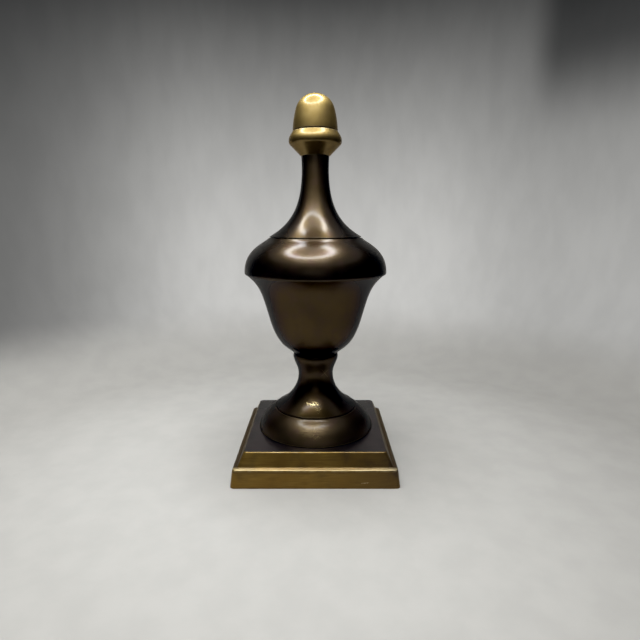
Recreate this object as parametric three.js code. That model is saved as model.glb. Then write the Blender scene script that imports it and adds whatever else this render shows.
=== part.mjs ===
// An urn finial of cast and turned brass on a square stepped plinth.
// Five pieces stand on each other on one upright axis: plinth, foot, cup, lid and acorn knob.
// Millimetres, +Z up. The origin is the middle of the plinth's underside.
import * as THREE from "three";
import { mergeVertices } from "three/addons/utils/BufferGeometryUtils.js";

// How finely round shapes are cut into flats
const sides = 52;
const cornerSteps = 3;

// Air left between two pieces that rest on each other
const seatGap = 0.3;

// Square plinth: a low tier, a ledge and a narrower tier, all with leaning faces
const plinth = {
  width: 102,
  cornerRadius: 2.4,
  lowerHeight: 11.3,
  lowerLean: 1.3,
  ledgeWidth: 2.6,
  upperHeight: 8.5,
  upperLean: 3.6,
  lowerEdge: 0.8,
  upperEdge: 0.4,
};

// Turned foot: a dome, a groove, a flare up to a narrow waist, and a collar under the cup
const foot = {
  radius: 38.5,
  domeRadius: 27.6,
  domeHeight: 13.5,
  grooveFloor: 26.1,
  grooveWidth: 0.9,
  lipRadius: 26.7,
  flareHeight: 21.6,
  waistRadius: 11.5,
  stemHeight: 12.3,
  collarRadius: 14.85,
  collarRounding: 2.2,
  seatRadius: 14.3,
};

// Cup: a bowl that opens into a bell-shaped lip
const cup = {
  seatOverhang: 0.2,
  bowlRadius: 30.6,
  bowlHeight: 25,
  lipRadius: 44.3,
  lipHeight: 27,
};

// Lid: a rim just proud of the cup, a rounded shoulder, a groove, and a long concave neck
const lid = {
  rimOverhang: 0.8,
  rimRounding: 1.1,
  rimBulge: 0.35,
  shoulderRadius: 29.7,
  shoulderHeight: 21.5,
  grooveFloor: 28.7,
  grooveWidth: 0.8,
  lipRadius: 29.4,
  flareHeight: 42.1,
  neckRadius: 8.4,
  neckTopRadius: 8.65,
  neckTopHeight: 6.6,
};

// Acorn knob: a cone, a rounded cap, a groove, and a nut that tapers to a domed tip
const acorn = {
  seatOverhang: 0.4,
  coneRadius: 15.7,
  coneHeight: 6.6,
  capRadius: 16.35,
  capRounding: 2.4,
  capHeight: 5.2,
  capTopRadius: 13.9,
  grooveFloor: 13.3,
  grooveWidth: 0.6,
  nutRadius: 13.85,
  nutHeight: 10.6,
  nutTopRadius: 12.35,
  domeHeight: 10.7,
};

// Heights at which the pieces meet
const footSeat = plinth.lowerHeight + plinth.upperHeight + seatGap;
const footTop =
  footSeat + foot.domeHeight + foot.grooveWidth + foot.flareHeight + foot.stemHeight + foot.collarRounding;
const cupSeat = footTop + seatGap;
const cupTop = cupSeat + cup.bowlHeight + cup.lipHeight;
const lidSeat = cupTop + seatGap;
const lidTop =
  lidSeat + lid.rimRounding + lid.shoulderHeight + lid.grooveWidth + lid.flareHeight + lid.neckTopHeight;
const acornSeat = lidTop + seatGap;

const brass = (name) =>
  new THREE.MeshStandardMaterial({ name, color: 0xa88646, roughness: 0.35, metalness: 1 });
const bronze = (name) =>
  new THREE.MeshStandardMaterial({ name, color: 0x3a2d22, roughness: 0.4, metalness: 0.9 });

// The half outline of a turned piece, drawn upwards from the axis as points of radius and height
class TurnedOutline {
  constructor(z) {
    this.points = [new THREE.Vector2(0, z)];
  }

  get pen() {
    return this.points[this.points.length - 1];
  }

  // A straight stretch, out or in to a radius while it rises
  line(radius, rise = 0) {
    this.points.push(new THREE.Vector2(radius, this.pen.y + rise));
    return this;
  }

  // A round stretch. Its two handles are shares of the stretch's own width and height.
  curve(radius, rise, [leaveOut, leaveUp], [arriveOut, arriveUp], steps) {
    const from = this.pen;
    const width = radius - from.x;
    const handle = (out, up) => new THREE.Vector2(from.x + out * width, from.y + up * rise);
    const end = new THREE.Vector2(radius, from.y + rise);
    const bend = new THREE.CubicBezierCurve(
      from,
      handle(leaveOut, leaveUp),
      handle(arriveOut, arriveUp),
      end,
    );
    this.points.push(...bend.getPoints(steps).slice(1));
    return this;
  }

  // Closes the outline on the axis and turns it round Z
  turn() {
    this.line(0);
    const geometry = new THREE.LatheGeometry(this.points, sides);
    geometry.deleteAttribute("normal");
    geometry.deleteAttribute("uv");
    geometry.rotateX(Math.PI / 2);
    return mergeVertices(geometry, 1e-4);
  }
}

// A square with rounded corners, in plan
function roundedSquare(half, radius) {
  const inner = half - radius;
  const shape = new THREE.Shape();
  shape.moveTo(half, -inner);
  shape.lineTo(half, inner);
  shape.absarc(inner, inner, radius, 0, Math.PI / 2);
  shape.lineTo(-inner, half);
  shape.absarc(-inner, inner, radius, Math.PI / 2, Math.PI);
  shape.lineTo(-half, -inner);
  shape.absarc(-inner, -inner, radius, Math.PI, Math.PI * 1.5);
  shape.lineTo(inner, -half);
  shape.absarc(inner, -inner, radius, Math.PI * 1.5, Math.PI * 2);
  return shape;
}

// The plinth's side outline, from the underside up: distance of the face from the axis, and height
function plinthLayers() {
  const half = plinth.width / 2;
  const ledgeOuter = half - plinth.lowerLean;
  const ledgeInner = ledgeOuter - plinth.ledgeWidth;
  const topHalf = ledgeInner - plinth.upperLean;
  const top = plinth.lowerHeight + plinth.upperHeight;
  return [
    [half, 0],
    [ledgeOuter, plinth.lowerHeight - plinth.lowerEdge],
    [ledgeOuter - plinth.lowerEdge * 0.3, plinth.lowerHeight - plinth.lowerEdge * 0.3],
    [ledgeOuter - plinth.lowerEdge, plinth.lowerHeight],
    [ledgeInner, plinth.lowerHeight],
    [topHalf, top - plinth.upperEdge],
    [topHalf - plinth.upperEdge, top],
  ];
}

// The plan is extruded with one layer for each level, and each layer is then moved to its own place
function plinthGeometry() {
  const layers = plinthLayers();
  const half = plinth.width / 2;
  const geometry = new THREE.ExtrudeGeometry(roundedSquare(half, plinth.cornerRadius), {
    depth: layers.length - 1,
    steps: layers.length - 1,
    curveSegments: cornerSteps,
    bevelEnabled: false,
  });
  const place = geometry.attributes.position;
  for (let i = 0; i < place.count; i++) {
    const [faceDistance, height] = layers[Math.round(place.getZ(i))];
    const inwards = half - faceDistance;
    const x = place.getX(i);
    const y = place.getY(i);
    place.setXYZ(i, x - Math.sign(x) * inwards, y - Math.sign(y) * inwards, height);
  }
  return geometry;
}

function footGeometry() {
  return new TurnedOutline(footSeat)
    .line(foot.radius)
    .curve(foot.domeRadius, foot.domeHeight, [0.32, 0.75], [0.89, 0.885], 7)
    .line(foot.grooveFloor)
    .line(foot.grooveFloor, foot.grooveWidth)
    .line(foot.lipRadius)
    .curve(foot.waistRadius, foot.flareHeight, [0.93, 0.34], [1, 0.85], 9)
    .curve(foot.collarRadius, foot.stemHeight, [0, 0.39], [1, 0.76], 6)
    .curve(foot.seatRadius, foot.collarRounding, [0, 0.5], [0.5, 1], 3)
    .turn();
}

function cupGeometry() {
  return new TurnedOutline(cupSeat)
    .line(foot.seatRadius + cup.seatOverhang)
    .curve(cup.bowlRadius, cup.bowlHeight, [0.29, 0.2], [0.66, 0.17], 8)
    .curve(cup.lipRadius, cup.lipHeight, [0.3, 0.55], [0.395, 0.745], 7)
    .turn();
}

function lidGeometry() {
  const rimRadius = cup.lipRadius + lid.rimOverhang;
  return new TurnedOutline(lidSeat)
    .line(rimRadius)
    .curve(rimRadius + lid.rimBulge, lid.rimRounding, [0.5, 0], [1, 0.5], 2)
    .curve(lid.shoulderRadius, lid.shoulderHeight, [0, 0.68], [0.83, 0.86], 9)
    .line(lid.grooveFloor)
    .line(lid.grooveFloor, lid.grooveWidth)
    .line(lid.lipRadius)
    .curve(lid.neckRadius, lid.flareHeight, [0.71, 0.195], [1, 0.475], 10)
    .curve(lid.neckTopRadius, lid.neckTopHeight, [0, 0.4], [0.6, 0.7], 2)
    .turn();
}

function acornGeometry() {
  return new TurnedOutline(acornSeat)
    .line(lid.neckTopRadius + acorn.seatOverhang)
    .line(acorn.coneRadius, acorn.coneHeight)
    .curve(acorn.capRadius, acorn.capRounding, [0.9, 0.3], [1, 0.6], 3)
    .curve(acorn.capTopRadius, acorn.capHeight, [0, 0.39], [0.84, 0.835], 4)
    .line(acorn.grooveFloor)
    .line(acorn.grooveFloor, acorn.grooveWidth)
    .line(acorn.nutRadius)
    .line(acorn.nutTopRadius, acorn.nutHeight)
    .curve(0, acorn.domeHeight, [0.16, 1], [0.95, 1], 7)
    .turn();
}

function piece(name, geometry, material) {
  const mesh = new THREE.Mesh(geometry, material(name + "_finish"));
  mesh.name = name;
  return mesh;
}

const finial = new THREE.Group();
finial.add(piece("plinth", plinthGeometry(), brass));
finial.add(piece("foot", footGeometry(), bronze));
finial.add(piece("cup", cupGeometry(), bronze));
finial.add(piece("lid", lidGeometry(), bronze));
finial.add(piece("acorn_knob", acornGeometry(), brass));

export default finial;
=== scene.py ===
import math

import bpy
import numpy as np
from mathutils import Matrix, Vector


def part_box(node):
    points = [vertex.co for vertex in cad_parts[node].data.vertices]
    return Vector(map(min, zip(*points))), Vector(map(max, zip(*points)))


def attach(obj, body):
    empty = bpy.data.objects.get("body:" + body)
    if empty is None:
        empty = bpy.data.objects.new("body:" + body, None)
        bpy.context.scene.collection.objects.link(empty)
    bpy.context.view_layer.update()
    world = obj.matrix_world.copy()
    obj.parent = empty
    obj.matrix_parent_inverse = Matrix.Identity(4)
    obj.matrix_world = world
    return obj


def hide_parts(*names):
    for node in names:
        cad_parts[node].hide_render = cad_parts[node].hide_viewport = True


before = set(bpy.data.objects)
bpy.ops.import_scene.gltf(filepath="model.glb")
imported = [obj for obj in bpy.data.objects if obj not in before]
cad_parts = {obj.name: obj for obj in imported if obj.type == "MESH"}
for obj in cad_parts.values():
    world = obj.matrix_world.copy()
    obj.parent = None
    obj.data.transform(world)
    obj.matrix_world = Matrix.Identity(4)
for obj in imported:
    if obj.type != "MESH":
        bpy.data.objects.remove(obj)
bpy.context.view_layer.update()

# Lengths below are in millimetres times MM, because Blender's unit here is the metre
MM = 0.001

# How finely the pieces are made
SIDES = 192
CORNER_STEPS = 8
EDGE_STEPS = 48
ROUNDING_STEPS = 5
POINT_SPACING = 0.6 * MM

# Vertices of a CAD node that are nearer than this are one point of its outline
SAME_POINT = 0.02 * MM

# How exactly the end of a flat face is found, and how near to the axis a point lies on it
FLAT_END = 0.01 * MM
ON_AXIS = 0.001 * MM

# An outline is split where it turns more than this, or where one side is this many times the other
CORNER_TURN = math.radians(38)
LONG_STRETCH = 4

# A corner that turns less than this isn't rounded, and a rounding takes at most this share of each side
SLIGHT_TURN = math.radians(12)
LONGEST_ROUNDING = 0.4

# Rounding of the turned edges, and of the cast plinth's edges
TURNED_EDGE = 0.28 * MM
CAST_EDGE = 0.35 * MM

# The corners of a square plan take at most this share of its half width
ROUNDEST_SQUARE = 0.999

# Distances in millimetres from an edge or a hollow: where a piece has none, and on that corner itself
FAR_AWAY = 100.0
AT_CORNER = 0.2

# A face whose normal points up at least this much is level
FACING_UP = 0.9

# Each piece rests on a narrow seat ring that stands back from its rim and closes the gap below it
SEAT_GAP = 0.29 * MM
SEAT_SETBACK = 0.7 * MM

# The photograph's frame, and the camera that was fitted to the plinth's corners and the turned grooves
FRAME_PIXELS = 640
FOCAL_PIXELS = 475
SENSOR = 36
CAMERA_PLACE = (2.9 * MM, -307.9 * MM, 154.7 * MM)
CAMERA_PITCH = math.radians(-11.47)
NEAR_CLIP = 10 * MM

# Overhead: a ring lamp, fitted to its reflections in the shoulder, neck and acorn, a panel and a ceiling
LAMP_STEPS = 96
LAMP_PLACE = (-29 * MM, -32 * MM, 383 * MM)
LAMP_RADIUS = 106 * MM
LAMP_WIDTH = 34 * MM
LAMP_STRENGTH = 30.0
LAMP_COLOUR = (0.90, 1.0, 1.12, 1)
PANEL_SIZE = (240 * MM, 330 * MM)
PANEL_PLACE = (-25 * MM, -85 * MM, 386 * MM)
PANEL_STRENGTH = 2.6
CEILING_RADIUS = 340 * MM
CEILING_HEIGHT = 396 * MM
CEILING_STRENGTH = 0.4

# The round pale studio: a floor that curves up into a wall
STUDIO_CENTRE = (0.0, -90 * MM)
STUDIO_RADIUS = 400 * MM
STUDIO_COVE = 120 * MM
STUDIO_HEIGHT = 640 * MM
FLOOR_STEPS = 12
COVE_STEPS = 24
STUDIO_COLOUR = (0.448, 0.414, 0.366, 1)
ROOM_COLOUR = (0.02, 0.02, 0.02, 1)

# A pair of lengths below is where something fades in: the place with none of it, then that with all of it.
# Only the ends of the scratches are (x, z) places.

# Painted reflections: the object sees the paper beside and behind it, on more of the floor, and in two bands
# in front; elsewhere it sees the paper darkened
PAPER_MIDDLE = -20 * MM
PAPER_BESIDE = (320 * MM, 210 * MM)
PAPER_BEHIND = (-170 * MM, -30 * MM)
FLOOR_BESIDE = (400 * MM, 300 * MM)
FLOOR_HEIGHT = (90 * MM, 20 * MM)
BAND_FRONT = (-250 * MM, -350 * MM)
BAND_BESIDE = (190 * MM, 80 * MM)
BAND_BOTTOM = (140 * MM, 240 * MM)
BAND_TOP = (520 * MM, 400 * MM)
WIDE_BAND_FRONT = (-60 * MM, -200 * MM)
WIDE_BAND_BOTTOM = (300 * MM, 400 * MM)
WIDE_BAND_RIGHT = (280 * MM, 80 * MM)
UNREFLECTED = 0.03

# The wall's painted glow behind the object, seen only by the camera, which fades upwards, to both sides and
# in the top right corner
WALL_START = (4 * MM, 60 * MM)
WALL_GLOW = 0.575
GLOW_FADES = (80 * MM, 500 * MM)
BACK_WALL = (60 * MM, 220 * MM)
LEFT_WALL = (-110 * MM, -330 * MM)
LEFT_GLOW = 0.28
RIGHT_WALL = (110 * MM, 260 * MM)
RIGHT_GLOW = 0.74
CORNER_RIGHT = (220 * MM, 250 * MM)
CORNER_HEIGHT = (240 * MM, 340 * MM)
CORNER_GLOW = 0.35

# Painted shade: the paper is a little darker to the right, at the back and in its folds
RIGHT_PAPER = (20 * MM, 260 * MM)
RIGHT_SHADE = 0.87
BACK_PAPER = (100 * MM, 300 * MM)
BACK_SHADE = 0.91
FOLD_SIZE = 20 * MM
FOLD_SHADE = 0.94

# The photograph's blacks are deeper than the scene's by this much red, green and blue light
BLACK_LEVEL = (0.0032, 0.0023, 0.0010)

# A worn patch is whole over this share of its reach, and its ragged edge has features of this size
PATCH_CORE = 0.35
RAGGED_SIZE = 1.6 * MM

# Where the foot's patina is worn through: flecks of brass above its groove, streaks and pits below it
UPPER_WEAR = (-2.2 * MM, -18.0 * MM, 40.5 * MM)
UPPER_WEAR_REACH = (5.6 * MM, 5.0 * MM, 1.5 * MM)
STRAY_WEAR = (1.6 * MM, -20.0 * MM, 37.6 * MM)
STRAY_WEAR_REACH = (3.4 * MM, 5.0 * MM, 3.0 * MM)
LOWER_WEAR = (-1.5 * MM, -33.0 * MM, 28.5 * MM)
LOWER_WEAR_REACH = (12.0 * MM, 7.0 * MM, 6.5 * MM)
PITTED = (0.3 * MM, -34.0 * MM, 27.5 * MM)
PITTED_REACH = (4.5 * MM, 7.0 * MM, 6.0 * MM)

# The dome is made a little paler low down and to the left, a painted highlight, and the foot's bottom edge
# is worn
PAINTED_SHEEN_HEIGHT = (28.0 * MM, 22.0 * MM)
PAINTED_SHEEN_SIDE = (24.0 * MM, 6.0 * MM)
BOTTOM_EDGE = (22.0 * MM, 21.0 * MM)

# How bare each kind of wear leaves the foot, and how pale the painted highlight makes the dome, where 1 is
# plain brass
STRAY_BARE = 0.4
STREAK_BARE = 0.10
PIT_BARE = 0.3
PAINTED_SHEEN_STRENGTH = 0.035
BOTTOM_EDGE_BARE = 0.45
STEM_SCRATCH_BARE = 0.13

# The acorn's cone, below its cap, has a higher gloss, and its right side is darkened by brown stains that
# are also painted shade
CONE_HEIGHT = 6.6 * MM
GLOSS_CHANGE = 2 * MM
STAIN_AND_SHADE_SIDE = (-2 * MM, 10 * MM)

# The plinth's front ledge, its top edges, less bare to the right, its right side, browner as painted shade,
# and its floor edge, darker as painted contact shade
FRONT_LEDGE = (-46.2 * MM, -46.9 * MM)
TOP_EDGES = (14 * MM, 16 * MM)
TOP_EDGES_RIGHT = (-25 * MM, 20 * MM)
SHADED_RIGHT_SIDE = (-5 * MM, 55 * MM)
FLOOR_EDGE = (1.2 * MM, 0.2 * MM)

# The height and the reach of a dark line of painted shade under the plinth's ledge
SHADED_LINE = 9.8 * MM
SHADED_LINE_REACH = (0.7 * MM, 0.2 * MM)

# Fine scratches on the front, each from one (x, z) to another: two cross on the stem, one is on the plinth
STEM_SCRATCHES = (
    ((3.2 * MM, 56.5 * MM), (9.0 * MM, 61.5 * MM)),
    ((3.6 * MM, 62.5 * MM), (8.4 * MM, 55.0 * MM)),
)
STEM_SCRATCH_WIDTH = 0.25 * MM
PLINTH_SCRATCH = ((27.0 * MM, 3.3 * MM), (32.4 * MM, 3.8 * MM))
PLINTH_SCRATCH_WIDTH = 0.4 * MM

BLACK = (0, 0, 0, 1)
WHITE = (1, 1, 1, 1)


# Outlines read from the CAD nodes

def corner_radius(node):
    """The plan's corner radius: on a face's flat end, x is longer than y by just that much."""
    return max(abs(v.co.x) - abs(v.co.y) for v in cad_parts[node].data.vertices)


def turned_levels(node):
    """Every (distance from the axis, height) that a turned node's vertices have."""
    return {(math.hypot(v.co.x, v.co.y), v.co.z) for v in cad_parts[node].data.vertices}


def square_levels(node):
    """Every (distance of a face from the axis, height) of a square node, from its flat faces' ends."""
    radius = corner_radius(node)
    return {
        (v.co.x, v.co.z)
        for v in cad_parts[node].data.vertices
        if abs(v.co.x - abs(v.co.y) - radius) < FLAT_END
    }


def outline_of(levels):
    """Puts the levels in order along the outline, from the axis at the underside to the axis at the top."""
    rows = []
    for distance, height in sorted(levels, key=lambda level: level[1]):
        if distance < SAME_POINT:
            continue
        if not rows or height - rows[-1][0] > SAME_POINT:
            rows.append((height, []))
        if all(abs(distance - other) > SAME_POINT for other in rows[-1][1]):
            rows[-1][1].append(distance)
    points = [(0.0, rows[0][0])]
    for height, row in rows:
        last = points[-1][0]
        points += [(distance, height) for distance in sorted(row, key=lambda d: abs(d - last))]
    return points


def close_on_axis(points, top):
    """Ends an outline on the axis, at the node's own highest point."""
    return [*points, (0.0, top)]


# Fine outlines

def turn_at(before, point, after):
    """How far an outline turns at a point: positive at an outward corner, negative in a hollow."""
    arriving = math.atan2(point[1] - before[1], point[0] - before[0])
    leaving = math.atan2(after[1] - point[1], after[0] - point[0])
    return (leaving - arriving + math.pi) % math.tau - math.pi


def stretches_of(points):
    """Splits an outline at its corners, and where a long straight meets a curve."""
    stretches = [[points[0], points[1]]]
    for before, point, after in zip(points, points[1:], points[2:]):
        lengths = sorted((math.dist(before, point), math.dist(point, after)))
        if abs(turn_at(before, point, after)) > CORNER_TURN or lengths[1] > LONG_STRETCH * lengths[0]:
            stretches.append([point])
        stretches[-1].append(after)
    return stretches


def smooth_curve(points):
    """Close-set points on the cubic spline through these points, with even bending at both ends."""
    points = np.array(points)
    lengths = np.linalg.norm(np.diff(points, axis=0), axis=1)
    places = np.concatenate(([0.0], np.cumsum(lengths)))
    count = len(points)
    steps = max(1, round(places[-1] / POINT_SPACING))
    fine = np.linspace(0, places[-1], steps + 1)
    if count == 2:
        share = (fine / places[-1])[:, None]
        return points[0] * (1 - share) + points[1] * share
    system = np.eye(count)
    system[0, 1] = system[-1, -2] = -1
    kinks = np.zeros((count, 2))
    slopes = np.diff(points, axis=0) / lengths[:, None]
    for i in range(1, count - 1):
        system[i, i - 1:i + 2] = lengths[i - 1], 2 * (lengths[i - 1] + lengths[i]), lengths[i]
        kinks[i] = 6 * (slopes[i] - slopes[i - 1])
    bends = np.linalg.solve(system, kinks)
    step = np.clip(np.searchsorted(places, fine, side="right") - 1, 0, count - 2)
    width = lengths[step][:, None]
    ahead = (places[step + 1] - fine)[:, None]
    behind = (fine - places[step])[:, None]
    straight = (points[step] * ahead + points[step + 1] * behind) / width
    bowed = bends[step] * (ahead**3 - ahead * width**2) + bends[step + 1] * (behind**3 - behind * width**2)
    return straight + bowed / (6 * width)


def cut_back(points, amount):
    """A line of points without the first part of it, amount long."""
    left = amount
    for i in range(len(points) - 1):
        length = math.dist(points[i], points[i + 1])
        if length > left:
            start = points[i] + (points[i + 1] - points[i]) * (left / length)
            return np.vstack((start, points[i + 1:]))
        left -= length
    return points[-1:]


def fine_outline(points, edge):
    """The outline with smooth curves and every corner rounded, and the signed corners that it has."""
    curves = [smooth_curve(stretch) for stretch in stretches_of(points)]
    lengths = [np.linalg.norm(np.diff(curve, axis=0), axis=1).sum() for curve in curves]
    outline = [curves[0]]
    corners = []
    for i in range(1, len(curves)):
        corner = curves[i][0]
        turn = turn_at(curves[i - 1][-2], corner, curves[i][1])
        if abs(turn) < SLIGHT_TURN:
            outline.append(curves[i][1:])
            continue
        size = min(edge, LONGEST_ROUNDING * lengths[i - 1], LONGEST_ROUNDING * lengths[i])
        arriving = cut_back(outline[-1][::-1], size)[::-1]
        leaving = cut_back(curves[i], size)
        shares = np.linspace(0, 1, ROUNDING_STEPS + 1)[1:-1, None]
        bend = arriving[-1] * (1 - shares)**2 + 2 * corner * shares * (1 - shares) + leaving[0] * shares**2
        outline[-1] = arriving
        outline += [bend, leaving]
        corners.append((corner[0], corner[1], turn))
    return np.vstack(outline), corners


def on_seat_ring(points):
    """Sets the piece on a seat ring: a shallow step down under its flat underside."""
    (_, height), (rim, _) = points[:2]
    ring = rim - SEAT_SETBACK
    return [(0.0, height - SEAT_GAP), (ring, height - SEAT_GAP), (ring, height), *points[1:]]


# Plans: the ring of points at one distance from the axis

def circle_plan(distance):
    """Points on a circle."""
    angles = np.arange(SIDES) * math.tau / SIDES
    return np.stack((np.cos(angles), np.sin(angles)), axis=1) * distance


def square_plan(radius):
    """A square with rounded corners and evenly cut flats, counted round from the front right corner."""

    def ring(distance):
        bend = min(radius, distance * ROUNDEST_SQUARE)
        inner = distance - bend
        points = []
        for quarter in range(4):
            middle = quarter * math.pi / 2 - math.pi / 4
            centre = np.array((math.cos(middle), math.sin(middle))) * inner * math.sqrt(2)
            for step in range(CORNER_STEPS + 1):
                angle = middle + (step / CORNER_STEPS - 0.5) * math.pi / 2
                points.append(centre + bend * np.array((math.cos(angle), math.sin(angle))))
            start = points[-1]
            along = np.array((-math.sin(middle + math.pi / 4), math.cos(middle + math.pi / 4)))
            for step in range(1, EDGE_STEPS):
                points.append(start + along * (2 * inner * step / EDGE_STEPS))
        return np.array(points)

    return ring


# Meshes

def loft(name, outline, plan):
    """A mesh with one ring of points for each point of the outline, and a single point on the axis."""
    vertices = []
    rings = []
    for distance, height in outline:
        ring = [(0.0, 0.0)] if distance < ON_AXIS else plan(distance)
        rings.append(range(len(vertices), len(vertices) + len(ring)))
        vertices += [(x, y, height) for x, y in ring]
    faces = []
    for low, high in zip(rings, rings[1:]):
        count = max(len(low), len(high))
        for i in range(count):
            after = (i + 1) % count
            below = (low[i % len(low)], low[after % len(low)])
            above = (high[after % len(high)], high[i % len(high)])
            faces.append(list(dict.fromkeys(below + above)))
    mesh = bpy.data.meshes.new(name)
    mesh.from_pydata(vertices, [], faces)
    mesh.polygons.foreach_set("use_smooth", [True] * len(mesh.polygons))
    piece = bpy.data.objects.new(name, mesh)
    bpy.context.scene.collection.objects.link(piece)
    return piece


def mark_corners(piece, corners, distance_of):
    """Stores on each point of a mesh its distance, in millimetres, from the nearest edge and hollow."""
    heights = np.array([v.co.z for v in piece.data.vertices])
    distances = np.array([distance_of(v.co) for v in piece.data.vertices])
    for attribute, sign in (("from_edge", 1), ("from_hollow", -1)):
        nearest = np.full(len(heights), FAR_AWAY)
        for distance, height, turn in corners:
            if turn * sign > 0:
                nearest = np.minimum(nearest, np.hypot(distances - distance, heights - height) / MM)
        stored = piece.data.attributes.new(attribute, "FLOAT", "POINT")
        stored.data.foreach_set("value", nearest.astype(np.float32))


def groove_height(piece):
    """The height of the piece's highest hollow corner."""
    marks = piece.data.attributes["from_hollow"].data
    return max(v.co.z for v, mark in zip(piece.data.vertices, marks) if mark.value < AT_CORNER)


def turned_piece(node):
    """The fine mesh of a turned node, on its seat ring, with its corners marked."""
    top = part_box(node)[1].z
    points = close_on_axis(outline_of(turned_levels(node)), top)
    outline, corners = fine_outline(on_seat_ring(points), TURNED_EDGE)
    piece = loft(node + "_finish", outline, circle_plan)
    mark_corners(piece, corners, lambda co: math.hypot(co.x, co.y))
    return piece


def square_piece(node):
    """The fine mesh of a square node, with its corners marked."""
    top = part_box(node)[1].z
    points = close_on_axis(outline_of(square_levels(node)), top)
    outline, corners = fine_outline(points, CAST_EDGE)
    piece = loft(node + "_finish", outline, square_plan(corner_radius(node)))
    mark_corners(piece, corners, lambda co: max(abs(co.x), abs(co.y)))
    return piece


# Materials

class Finish:
    """A material being wired up. Each call adds a node and gives back the socket that it makes."""

    def __init__(self, name):
        self.material = bpy.data.materials.new(name)
        self.material.use_nodes = True
        self.tree = self.material.node_tree
        self.shader = self.tree.nodes["Principled BSDF"]

    def connect(self, socket, value):
        if isinstance(value, bpy.types.NodeSocket):
            self.tree.links.new(value, socket)
        else:
            socket.default_value = value

    def surface(self, **sockets):
        """Sets the shader's sockets, named with _ where their names have a space."""
        for name, value in sockets.items():
            self.connect(self.shader.inputs[name.replace("_", " ")], value)

    def add(self, kind, **settings):
        node = self.tree.nodes.new("ShaderNode" + kind)
        for name, value in settings.items():
            setattr(node, name, value)
        return node

    def math(self, operation, a, b=0.0):
        node = self.add("Math", operation=operation)
        self.connect(node.inputs[0], a)
        self.connect(node.inputs[1], b)
        return node.outputs[0]

    def chain(self, operation, *values):
        """One operation run along all the values, such as their sum, product or maximum."""
        result = values[0]
        for value in values[1:]:
            result = self.math(operation, result, value)
        return result

    def weighted(self, a, a_weight, b, b_weight):
        """a and b added up, each times its own weight."""
        return self.math("ADD", self.math("MULTIPLY", a, a_weight), self.math("MULTIPLY", b, b_weight))

    def share(self, value, start, end):
        """0 at start, 1 at end, smooth in between."""
        node = self.add("MapRange", interpolation_type="SMOOTHSTEP")
        for socket, setting in zip(("Value", "From Min", "From Max"), (value, start, end)):
            self.connect(node.inputs[socket], setting)
        return node.outputs[0]

    def between(self, share, low, high):
        node = self.add("Mix", data_type="FLOAT")
        for socket, setting in zip((0, 2, 3), (share, low, high)):
            self.connect(node.inputs[socket], setting)
        return node.outputs[0]

    def colours(self, share, first, second):
        node = self.add("Mix", data_type="RGBA")
        for socket, setting in zip((0, 6, 7), (share, first, second)):
            self.connect(node.inputs[socket], setting)
        return node.outputs[2]

    def place(self):
        return self.add("TexCoord").outputs["Object"]

    def stretched(self, *shares):
        """The place, with patterns drawn out in x, y or z where that direction's share is less than 1."""
        node = self.add("VectorMath", operation="MULTIPLY")
        self.connect(node.inputs[0], self.place())
        self.connect(node.inputs[1], shares)
        return node.outputs[0]

    def parts(self, vector):
        node = self.add("SeparateXYZ")
        self.connect(node.inputs[0], vector)
        return node.outputs

    def vector(self, x, y, z):
        node = self.add("CombineXYZ")
        for socket, setting in zip(node.inputs, (x, y, z)):
            self.connect(socket, setting)
        return node.outputs[0]

    def noise(self, vector, size, detail):
        """Noise from 0 to 1 with features of about this size."""
        node = self.add("TexNoise")
        self.connect(node.inputs["Vector"], vector)
        self.connect(node.inputs["Scale"], 1 / size)
        self.connect(node.inputs["Detail"], detail)
        return node.outputs[0]

    def attribute(self, name):
        """A value stored on the mesh, such as the distances that mark_corners gives it."""
        return self.add("Attribute", attribute_name=name).outputs["Fac"]

    def bump(self, height, depth):
        node = self.add("Bump")
        self.connect(node.inputs["Height"], height)
        self.connect(node.inputs["Distance"], depth)
        self.connect(node.inputs["Strength"], 1.0)
        return node.outputs[0]


def turned_place(finish, radian_length):
    """A place whose patterns run round the axis, as a lathe leaves them.

    radian_length is how far a pattern moves on for each radian.
    """
    x, y, z = finish.parts(finish.place())
    radius = finish.math("SQRT", finish.weighted(x, x, y, y))
    angle = finish.math("ARCTAN2", y, x)
    return finish.vector(radius, finish.math("MULTIPLY", angle, radian_length), z)


def patch(finish, centre, reach, ragged):
    """A worn patch: 1 at its centre, 0 beyond its reach, with an edge made ragged by noise."""
    offset = finish.add("VectorMath", operation="SUBTRACT")
    finish.connect(offset.inputs[0], finish.place())
    offset.inputs[1].default_value = centre
    scaled = finish.add("VectorMath", operation="DIVIDE")
    finish.connect(scaled.inputs[0], offset.outputs[0])
    scaled.inputs[1].default_value = reach
    length = finish.add("VectorMath", operation="LENGTH")
    finish.connect(length.inputs[0], scaled.outputs[0])
    uneven = finish.math("MULTIPLY", finish.noise(finish.place(), RAGGED_SIZE, detail=3.0), ragged)
    reached = finish.math("ADD", length.outputs["Value"], uneven)
    return finish.share(reached, 1 + ragged / 2, PATCH_CORE + ragged / 2)


def scratch(finish, start, end, width):
    """A fine scratch on the front: 1 on the straight line between two (x, z) places, 0 beyond its width."""
    length = math.dist(start, end)
    way = ((end[0] - start[0]) / length, (end[1] - start[1]) / length)
    x, y, z = finish.parts(finish.place())
    right = finish.math("SUBTRACT", x, (start[0] + end[0]) / 2)
    up = finish.math("SUBTRACT", z, (start[1] + end[1]) / 2)
    along = finish.weighted(right, way[0], up, way[1])
    across = finish.weighted(right, way[1], up, -way[0])
    thin = finish.share(finish.math("ABSOLUTE", across), width, 0.3 * width)
    short = finish.share(finish.math("ABSOLUTE", along), length / 2, 0.3 * length)
    broken = finish.share(finish.noise(finish.place(), 0.9 * MM, detail=1.0), 0.38, 0.5)
    return finish.chain("MULTIPLY", thin, short, broken, finish.share(y, 0.0, -2 * MM))


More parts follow.
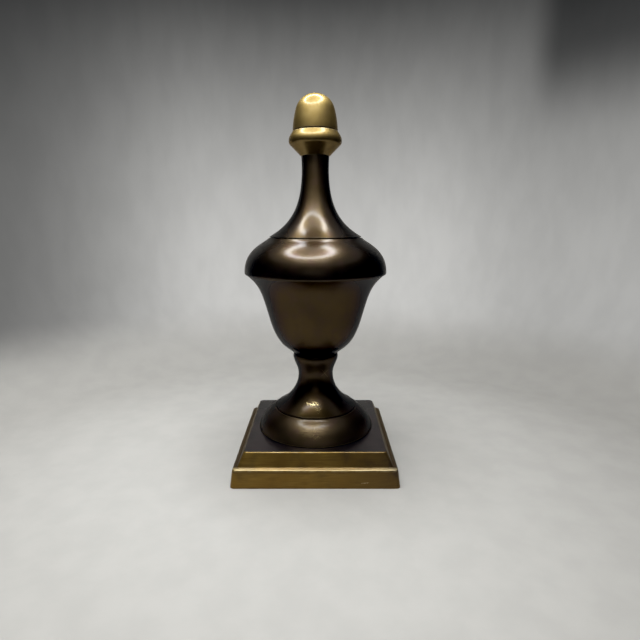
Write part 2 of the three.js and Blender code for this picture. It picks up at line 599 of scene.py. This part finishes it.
def foot_wear_and_sheen(finish):
    """How bare the brass is on the foot.

    Chips, stray flecks and two scratches lie above its groove, streaks and pits below it. Its bottom edge is
    worn too. The lower left of its dome is made a little paler all over: a painted highlight.
    """
    x, _, height = finish.parts(finish.place())
    chips = finish.share(finish.noise(finish.place(), 1.0 * MM, detail=3.0), 0.49, 0.57)
    flecks = finish.share(finish.noise(finish.place(), 0.6 * MM, detail=2.0), 0.6, 0.66)
    streaks = finish.share(finish.noise(turned_place(finish, 3 * MM), 0.35 * MM, detail=2.0), 0.4, 0.65)
    upper = patch(finish, UPPER_WEAR, UPPER_WEAR_REACH, ragged=0.5)
    stray = patch(finish, STRAY_WEAR, STRAY_WEAR_REACH, ragged=0.6)
    lower = patch(finish, LOWER_WEAR, LOWER_WEAR_REACH, ragged=0.6)
    pitted = patch(finish, PITTED, PITTED_REACH, ragged=0.6)
    # Painted highlight: the lower left of the dome is mixed a little towards brass
    painted_sheen = finish.math("MULTIPLY", finish.share(height, *PAINTED_SHEEN_HEIGHT), finish.share(x, *PAINTED_SHEEN_SIDE))
    edge = finish.share(finish.attribute("from_edge"), 0.6, 0.2)
    scratches = [scratch(finish, *ends, STEM_SCRATCH_WIDTH) for ends in STEM_SCRATCHES]
    return finish.chain(
        "MAXIMUM",
        finish.math("MULTIPLY", painted_sheen, PAINTED_SHEEN_STRENGTH),
        finish.math("MULTIPLY", upper, chips),
        finish.chain("MULTIPLY", stray, flecks, STRAY_BARE),
        finish.chain("MULTIPLY", lower, streaks, STREAK_BARE),
        finish.chain("MULTIPLY", pitted, flecks, PIT_BARE),
        finish.chain("MULTIPLY", edge, finish.share(height, *BOTTOM_EDGE), BOTTOM_EDGE_BARE),
        *(finish.math("MULTIPLY", line, STEM_SCRATCH_BARE) for line in scratches),
    )


# Dark and light olive brown, and the redder brown of the mottling
DARK_TONES = ((0.046, 0.026, 0.003, 1), (0.059, 0.034, 0.005, 1), (0.052, 0.028, 0.008, 1))
STEM_TONES = ((0.036, 0.021, 0.004, 1), (0.045, 0.027, 0.007, 1), (0.040, 0.022, 0.008, 1))
NECK_TONES = ((0.051, 0.032, 0.012, 1), (0.061, 0.040, 0.018, 1), (0.057, 0.034, 0.018, 1))
SHOULDER_TONES = ((0.037, 0.022, 0.008, 1), (0.045, 0.028, 0.011, 1), (0.042, 0.023, 0.012, 1))
RUBBED_TONES = ((0.053, 0.034, 0.014, 1), (0.064, 0.041, 0.019, 1), (0.059, 0.035, 0.020, 1))

# The brass under the patina, and the patina's colour at glancing angles
BRONZE_BARE = (0.55, 0.41, 0.18, 1)
BRONZE_GLANCE = (0.12, 0.08, 0.04, 1)


def no_wear(finish):
    """For a piece with no worn places."""
    return 0.0


def bronze(name, tones, roughness, brushed, coat, wear_and_sheen=no_wear):
    """Semi-gloss dark patina on turned brass.

    roughness goes from its least to its most, and brushed is how far the turning marks draw out the light.
    """
    finish = Finish(name)
    blotches = finish.noise(finish.place(), 16 * MM, detail=3.0)
    mottle = finish.noise(finish.place(), 6 * MM, detail=4.0)
    grain = finish.noise(finish.place(), 0.45 * MM, detail=2.0)
    marks = finish.noise(turned_place(finish, 4 * MM), 0.5 * MM, detail=3.0)
    edge = finish.share(finish.attribute("from_edge"), 0.5, 0.1)

    olive = finish.colours(finish.share(blotches, 0.3, 0.7), tones[0], tones[1])
    brown = finish.colours(finish.share(mottle, 0.45, 0.7), olive, tones[2])
    # The worn places may carry a painted highlight too, as on the foot's dome
    bare = finish.math("MAXIMUM", finish.math("MULTIPLY", edge, 0.05), wear_and_sheen(finish))
    # Bare metal lies lower than the patina round it
    relief = finish.weighted(finish.weighted(marks, 0.6, grain, 0.4), 1.0, bare, -4.0)
    finish.surface(
        Base_Color=finish.colours(bare, brown, BRONZE_BARE),
        Metallic=1.0,
        Roughness=finish.between(finish.share(mottle, 0.3, 0.7), *roughness),
        Anisotropic=brushed,
        Anisotropic_Rotation=0.25,
        Specular_Tint=BRONZE_GLANCE,
        Coat_Weight=coat,
        Coat_Roughness=0.2,
        Normal=finish.bump(relief, 0.008 * MM),
    )
    return finish.material


# The plate's darker and paler patina, and its colour at glancing angles
PLATE_TONES = ((0.040, 0.028, 0.024, 1), (0.058, 0.038, 0.036, 1))
PLATE_GLANCE = (0.3, 0.25, 0.28, 1)


def plate_patina(name):
    """Dull dark patina with a purple-grey bloom, on the plinth's flat top."""
    finish = Finish(name)
    blotches = finish.noise(finish.place(), 22 * MM, detail=3.0)
    mottle = finish.noise(finish.place(), 5 * MM, detail=4.0)
    grain = finish.noise(finish.place(), 0.5 * MM, detail=2.0)
    finish.surface(
        Base_Color=finish.colours(finish.share(blotches, 0.35, 0.65), *PLATE_TONES),
        Metallic=1.0,
        Roughness=finish.between(mottle, 0.26, 0.42),
        Specular_Tint=PLATE_GLANCE,
        Coat_Weight=0.85,
        Coat_Roughness=0.27,
        Normal=finish.bump(grain, 0.006 * MM),
    )
    return finish.material


# The acorn's darker and paler brass, the dark brown of its right side's stains and painted shade and of its
# groove, its bare edges and its colour at glancing angles
ACORN_TONES = ((0.162, 0.106, 0.032, 1), (0.194, 0.132, 0.043, 1))
ACORN_DARK_BROWN = (0.10, 0.066, 0.026, 1)
ACORN_BARE = (0.75, 0.60, 0.34, 1)
ACORN_GLANCE = (0.7, 0.6, 0.45, 1)


def acorn_brass(name):
    """Pale satin brass, with brown streaks down its right side that are real stains and painted shade, and
    darker in its groove.
    """
    finish = Finish(name)
    x, _, z = finish.parts(finish.place())
    blotches = finish.noise(finish.place(), 9 * MM, detail=3.0)
    grain = finish.noise(finish.place(), 0.4 * MM, detail=2.0)
    runs = finish.noise(finish.stretched(1, 1, 0.25), 2.2 * MM, detail=3.0)
    # Painted shade with real stains: brown streaks, kept to the right side
    stain_and_shade = finish.chain("MULTIPLY", finish.share(runs, 0.42, 0.68), finish.share(x, *STAIN_AND_SHADE_SIDE), 0.45)
    pale = finish.colours(finish.share(blotches, 0.3, 0.7), *ACORN_TONES)
    edge = finish.math("MULTIPLY", finish.share(finish.attribute("from_edge"), 0.5, 0.1), 0.2)
    hollow = finish.math("MULTIPLY", finish.share(finish.attribute("from_hollow"), 0.9, 0.2), 0.8)
    darkened = finish.colours(finish.math("MAXIMUM", stain_and_shade, hollow), pale, ACORN_DARK_BROWN)
    cone_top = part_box("acorn_knob")[0].z + CONE_HEIGHT
    satin = finish.between(finish.share(blotches, 0.3, 0.7), 0.46, 0.50)
    finish.surface(
        Base_Color=finish.colours(edge, darkened, ACORN_BARE),
        Metallic=1.0,
        Roughness=finish.between(finish.share(z, cone_top, cone_top + GLOSS_CHANGE), 0.28, satin),
        Specular_Tint=ACORN_GLANCE,
        Coat_Weight=0.3,
        Coat_Roughness=0.14,
        Normal=finish.bump(grain, 0.005 * MM),
    )
    return finish.material


# The plinth's darker and paler gold, brushed lines, the brown of its lacquer and of its painted shade, bare
# brass and colour at glancing angles
GOLDEN_TONES = ((0.235, 0.138, 0.028, 1), (0.29, 0.180, 0.040, 1))
BRUSHED_GOLD = (0.21, 0.121, 0.026, 1)
LACQUER_AND_SHADE_BROWN = (0.085, 0.055, 0.027, 1)
PLINTH_BARE = (0.70, 0.56, 0.31, 1)
PLINTH_GLANCE = (0.8, 0.75, 0.65, 1)


def plinth_front(finish):
    """1 on the plinth's front faces and front ledge, 0 on its other sides."""
    y = finish.parts(finish.place())[1]
    backward = finish.parts(finish.add("TexCoord").outputs["Normal"])[1]
    forward = finish.math("MULTIPLY", backward, -1.0)
    return finish.math("MAXIMUM", finish.share(forward, 0.2, 0.5), finish.share(y, *FRONT_LEDGE))


def plinth_browning_and_shade(finish, sides):
    """How brown the plinth is: its lacquer's mottled stains, and painted shade to the right, on its other
    sides, in a line under the ledge and along its floor edge.
    """
    x, _, z = finish.parts(finish.place())
    mottle = finish.share(finish.noise(finish.place(), 11 * MM, detail=4.0), 0.45, 0.75)
    # Painted shade to the right, with the lacquer's real mottled stains
    stain_and_right_shade = finish.weighted(finish.share(x, *SHADED_RIGHT_SIDE), 0.6, mottle, 0.5)
    # Painted shade: a dark line under the ledge, and the floor edge darkened as contact shade
    from_line = finish.math("ABSOLUTE", finish.math("SUBTRACT", z, SHADED_LINE))
    return finish.chain(
        "MAXIMUM",
        finish.math("MINIMUM", stain_and_right_shade, 1.0),
        sides,
        finish.math("MULTIPLY", finish.share(from_line, *SHADED_LINE_REACH), 0.6),
        finish.math("MULTIPLY", finish.share(z, *FLOOR_EDGE), 0.6),
    )


def plinth_wear_and_highlight(finish, sides):
    """How bare the plinth's brass is: nicked edges and a scratch, less at the sides, and a paler upward face
    on the front ledge, which is a painted highlight.
    """
    x, y, z = finish.parts(finish.place())
    upward = finish.parts(finish.add("TexCoord").outputs["Normal"])[2]
    nicks = finish.share(finish.noise(finish.place(), 5 * MM, detail=4.0), 0.35, 0.65)
    top_edges = finish.between(finish.share(x, *TOP_EDGES_RIGHT), 0.6, 0.25)
    edges = finish.chain(
        "MULTIPLY",
        finish.share(finish.attribute("from_edge"), 0.5, 0.15),
        finish.between(finish.share(z, *TOP_EDGES), 1.0, top_edges),
        finish.between(nicks, 0.08, 0.40),
    )
    # Painted highlight: the front ledge's upward face is mixed towards brass
    ledge = finish.chain("MULTIPLY", finish.share(upward, 0.6, 0.95), finish.share(y, *FRONT_LEDGE), 0.45)
    # Edge wear and the ledge's painted highlight, less on the sides
    worn = finish.math("MULTIPLY", finish.math("MAXIMUM", edges, ledge), finish.between(sides, 1.0, 0.25))
    line = finish.math("MULTIPLY", scratch(finish, *PLINTH_SCRATCH, PLINTH_SCRATCH_WIDTH), 0.5)
    return finish.math("MAXIMUM", worn, line)


def plinth_brass(name):
    """Brushed brass under brown lacquer, golden at the front left; browner in mottled stains, and with
    painted shade to the right and on its other sides.
    """
    finish = Finish(name)
    blotches = finish.share(finish.noise(finish.place(), 14 * MM, detail=3.0), 0.3, 0.7)
    grain = finish.noise(finish.place(), 0.4 * MM, detail=2.0)
    brushing = finish.noise(finish.stretched(0.05, 0.05, 1), 0.5 * MM, detail=3.0)
    golden = finish.colours(blotches, *GOLDEN_TONES)
    golden = finish.colours(finish.share(brushing, 0.35, 0.7), golden, BRUSHED_GOLD)
    sides = finish.math("SUBTRACT", 1.0, plinth_front(finish))
    # The brown mix is the lacquer's stains and painted shade
    lacquer = finish.colours(plinth_browning_and_shade(finish, sides), golden, LACQUER_AND_SHADE_BROWN)
    finish.surface(
        Base_Color=finish.colours(plinth_wear_and_highlight(finish, sides), lacquer, PLINTH_BARE),
        Metallic=1.0,
        Roughness=finish.between(blotches, 0.44, 0.52),
        Specular_Tint=PLINTH_GLANCE,
        Coat_Weight=0.12,
        Coat_Roughness=0.3,
        Normal=finish.bump(finish.weighted(brushing, 0.6, grain, 0.4), 0.005 * MM),
    )
    return finish.material


# The pieces

def dress(piece, node, slot, *materials):
    """Gives a piece its materials, and puts it in the place of its CAD node."""
    for material in materials:
        piece.data.materials.append(material)
    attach(piece, "root")
    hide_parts(node)


def paint_faces(piece, chosen):
    """Gives the piece's second material to the faces that are chosen."""
    for face in piece.data.polygons:
        if chosen(face):
            face.material_index = 1


def make_finial():
    cup_bronze = bronze("cup_bronze", DARK_TONES, roughness=(0.31, 0.36), brushed=0.2, coat=0.34)
    stem_bronze = bronze(
        "stem_bronze", STEM_TONES, roughness=(0.29, 0.34), brushed=0.3, coat=0.27, wear_and_sheen=foot_wear_and_sheen
    )
    dome_bronze = bronze(
        "dome_bronze", RUBBED_TONES, roughness=(0.39, 0.45), brushed=0.3, coat=0.24, wear_and_sheen=foot_wear_and_sheen
    )
    shoulder_bronze = bronze(
        "shoulder_bronze", SHOULDER_TONES, roughness=(0.31, 0.36), brushed=0.2, coat=0.44
    )
    neck_bronze = bronze("neck_bronze", NECK_TONES, roughness=(0.34, 0.38), brushed=0.75, coat=0.38)
    dress(turned_piece("cup"), "cup", "dark_bronze", cup_bronze)
    dress(turned_piece("acorn_knob"), "acorn_knob", "satin_brass", acorn_brass("acorn_brass"))

    foot = turned_piece("foot")
    dress(foot, "foot", "dark_bronze", stem_bronze, dome_bronze)
    foot_groove = groove_height(foot)
    paint_faces(foot, lambda face: face.center.z < foot_groove)

    lid = turned_piece("lid")
    dress(lid, "lid", "dark_bronze", shoulder_bronze, neck_bronze)
    lid_groove = groove_height(lid)
    paint_faces(lid, lambda face: face.center.z > lid_groove)

    plinth = square_piece("plinth")
    dress(plinth, "plinth", "satin_brass", plinth_brass("plinth_brass"), plate_patina("plate_patina"))
    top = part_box("plinth")[1].z
    paint_faces(plinth, lambda face: face.normal.z > FACING_UP and face.center.z > top - SAME_POINT)


# The studio

def studio_outline():
    """Radius and height of the floor, its curve up and the wall."""
    bend = [math.pi / 2 * step / COVE_STEPS for step in range(COVE_STEPS + 1)]
    flat = STUDIO_RADIUS - STUDIO_COVE
    floor = [(flat * step / FLOOR_STEPS, 0.0) for step in range(FLOOR_STEPS)]
    cove = [(flat + STUDIO_COVE * math.sin(a), STUDIO_COVE * (1 - math.cos(a))) for a in bend]
    return [*floor, *cove, (STUDIO_RADIUS, STUDIO_HEIGHT)]


def painted_reflections(finish, x, y, z):
    """Painted reflections: how much of the paper the object sees, what is near or behind, and two bands high
    up in front.
    """
    off_middle = finish.math("ABSOLUTE", finish.math("SUBTRACT", x, PAPER_MIDDLE))
    floor = finish.math("MULTIPLY", finish.share(z, *FLOOR_HEIGHT), finish.share(off_middle, *FLOOR_BESIDE))
    beside = finish.math("MAXIMUM", finish.share(off_middle, *PAPER_BESIDE), floor)
    band = finish.chain(
        "MULTIPLY",
        finish.share(y, *BAND_FRONT),
        finish.share(off_middle, *BAND_BESIDE),
        finish.share(z, *BAND_BOTTOM),
        finish.share(z, *BAND_TOP),
    )
    wide_band = finish.chain(
        "MULTIPLY",
        finish.share(y, *WIDE_BAND_FRONT),
        finish.share(z, *WIDE_BAND_BOTTOM),
        finish.share(x, *WIDE_BAND_RIGHT),
    )
    paper = finish.math("MULTIPLY", beside, finish.share(y, *PAPER_BEHIND))
    return finish.chain("MAXIMUM", paper, band, wide_band)


def wall_glow(finish, x, y, z):
    """How strongly the wall's painted glow shines: less and less upwards, to both sides and in the top right
    corner.
    """
    back = finish.share(y, *BACK_WALL)
    left = finish.math("MULTIPLY", back, finish.share(x, *LEFT_WALL))
    right = finish.math("MULTIPLY", back, finish.share(x, *RIGHT_WALL))
    corner = finish.chain("MULTIPLY", back, finish.share(x, *CORNER_RIGHT), finish.share(z, *CORNER_HEIGHT))
    return finish.chain(
        "MULTIPLY",
        finish.between(finish.share(z, *GLOW_FADES), WALL_GLOW, 0.0),
        finish.between(left, 1.0, LEFT_GLOW),
        finish.between(right, 1.0, RIGHT_GLOW),
        finish.between(corner, 1.0, CORNER_GLOW),
    )


def studio_material():
    """Pale matt paper with painted shade to the right, at the back and in faint creases. The camera sees a
    painted glow on its wall, and the object sees part of the paper as painted reflections.
    """
    finish = Finish("studio_paper")
    x, y, z = finish.parts(finish.place())
    light_path = finish.add("LightPath")
    # Painted reflections: glossy rays see the paper only where this mask allows
    painted_reflection = finish.between(painted_reflections(finish, x, y, z), UNREFLECTED, 1.0)
    lit = finish.between(light_path.outputs["Is Glossy Ray"], 1.0, painted_reflection)
    # Painted glow: for the camera, the wall's lit colour gives way to a glow
    wall = finish.math("MULTIPLY", finish.share(z, *WALL_START), light_path.outputs["Is Camera Ray"])
    creases = finish.noise(finish.stretched(1, 1, 0.4), FOLD_SIZE, detail=5.0)
    # Painted shade in faint creases
    fold_shade = finish.between(finish.share(creases, 0.3, 0.7), FOLD_SHADE, 1.0)
    # Painted shade to the right and at the back
    pale = finish.chain(
        "MULTIPLY",
        finish.math("SUBTRACT", lit, wall),
        finish.between(finish.share(x, *RIGHT_PAPER), 1.0, RIGHT_SHADE),
        finish.between(finish.share(y, *BACK_PAPER), 1.0, BACK_SHADE),
        fold_shade,
    )
    finish.surface(
        Base_Color=finish.colours(pale, BLACK, STUDIO_COLOUR),
        Roughness=0.9,
        Specular_IOR_Level=0.1,
        Emission_Color=(1.0, 0.995, 0.965, 1),
        Emission_Strength=finish.chain("MULTIPLY", wall, wall_glow(finish, x, y, z), fold_shade),
    )
    return finish.material


def make_studio():
    studio = loft("studio", studio_outline(), circle_plan)
    studio.location = (*STUDIO_CENTRE, 0.0)
    studio.data.flip_normals()
    studio.data.materials.append(studio_material())


# Lights

def glowing(name, strength, colour=WHITE):
    finish = Finish(name)
    finish.surface(Base_Color=BLACK, Emission_Color=colour, Emission_Strength=strength)
    return finish.material


def lamp_mesh(name, vertices, faces, material):
    mesh = bpy.data.meshes.new(name)
    mesh.from_pydata(vertices, [], faces)
    mesh.materials.append(material)
    lamp = bpy.data.objects.new(name, mesh)
    bpy.context.scene.collection.objects.link(lamp)
    lamp.visible_camera = False
    return lamp


def level_ring(radius):
    """Points on a level circle."""
    angles = [math.tau * step / LAMP_STEPS for step in range(LAMP_STEPS)]
    return [(radius * math.cos(angle), radius * math.sin(angle), 0.0) for angle in angles]


def make_ring_lamp():
    vertices = level_ring(LAMP_RADIUS - LAMP_WIDTH / 2) + level_ring(LAMP_RADIUS + LAMP_WIDTH / 2)
    faces = []
    for step in range(LAMP_STEPS):
        after = (step + 1) % LAMP_STEPS
        faces.append((step, after, LAMP_STEPS + after, LAMP_STEPS + step))
    lamp = lamp_mesh("ring_lamp", vertices, faces, glowing("ring_lamp", LAMP_STRENGTH, LAMP_COLOUR))
    lamp.location = LAMP_PLACE


def make_panel():
    width, depth = PANEL_SIZE[0] / 2, PANEL_SIZE[1] / 2
    vertices = [(-width, -depth, 0), (width, -depth, 0), (width, depth, 0), (-width, depth, 0)]
    panel = lamp_mesh("panel", vertices, [(0, 1, 2, 3)], glowing("panel", PANEL_STRENGTH))
    panel.location = PANEL_PLACE


def make_ceiling():
    vertices = level_ring(CEILING_RADIUS)
    ceiling = lamp_mesh("ceiling", vertices, [range(LAMP_STEPS)], glowing("ceiling", CEILING_STRENGTH))
    ceiling.location = (*STUDIO_CENTRE, CEILING_HEIGHT)


# Camera, room and view

def make_camera():
    data = bpy.data.cameras.new("camera")
    data.sensor_width = SENSOR
    data.lens = FOCAL_PIXELS / FRAME_PIXELS * SENSOR
    data.clip_start = NEAR_CLIP
    camera = bpy.data.objects.new("camera", data)
    bpy.context.scene.collection.objects.link(camera)
    camera.location = CAMERA_PLACE
    camera.rotation_euler = (math.pi / 2 + CAMERA_PITCH, 0, 0)
    bpy.context.scene.camera = camera


def make_room_light():
    world = bpy.data.worlds.new("room")
    world.use_nodes = True
    world.node_tree.nodes["Background"].inputs["Color"].default_value = ROOM_COLOUR
    bpy.context.scene.world = world


def set_contrast():
    view = bpy.context.scene.view_settings
    view.view_transform = "Standard"
    view.use_curve_mapping = True
    view.curve_mapping.black_level = BLACK_LEVEL
    view.curve_mapping.update()


set_contrast()
make_camera()
make_studio()
make_ring_lamp()
make_panel()
make_ceiling()
make_room_light()
make_finial()

bpy.context.view_layer.update()
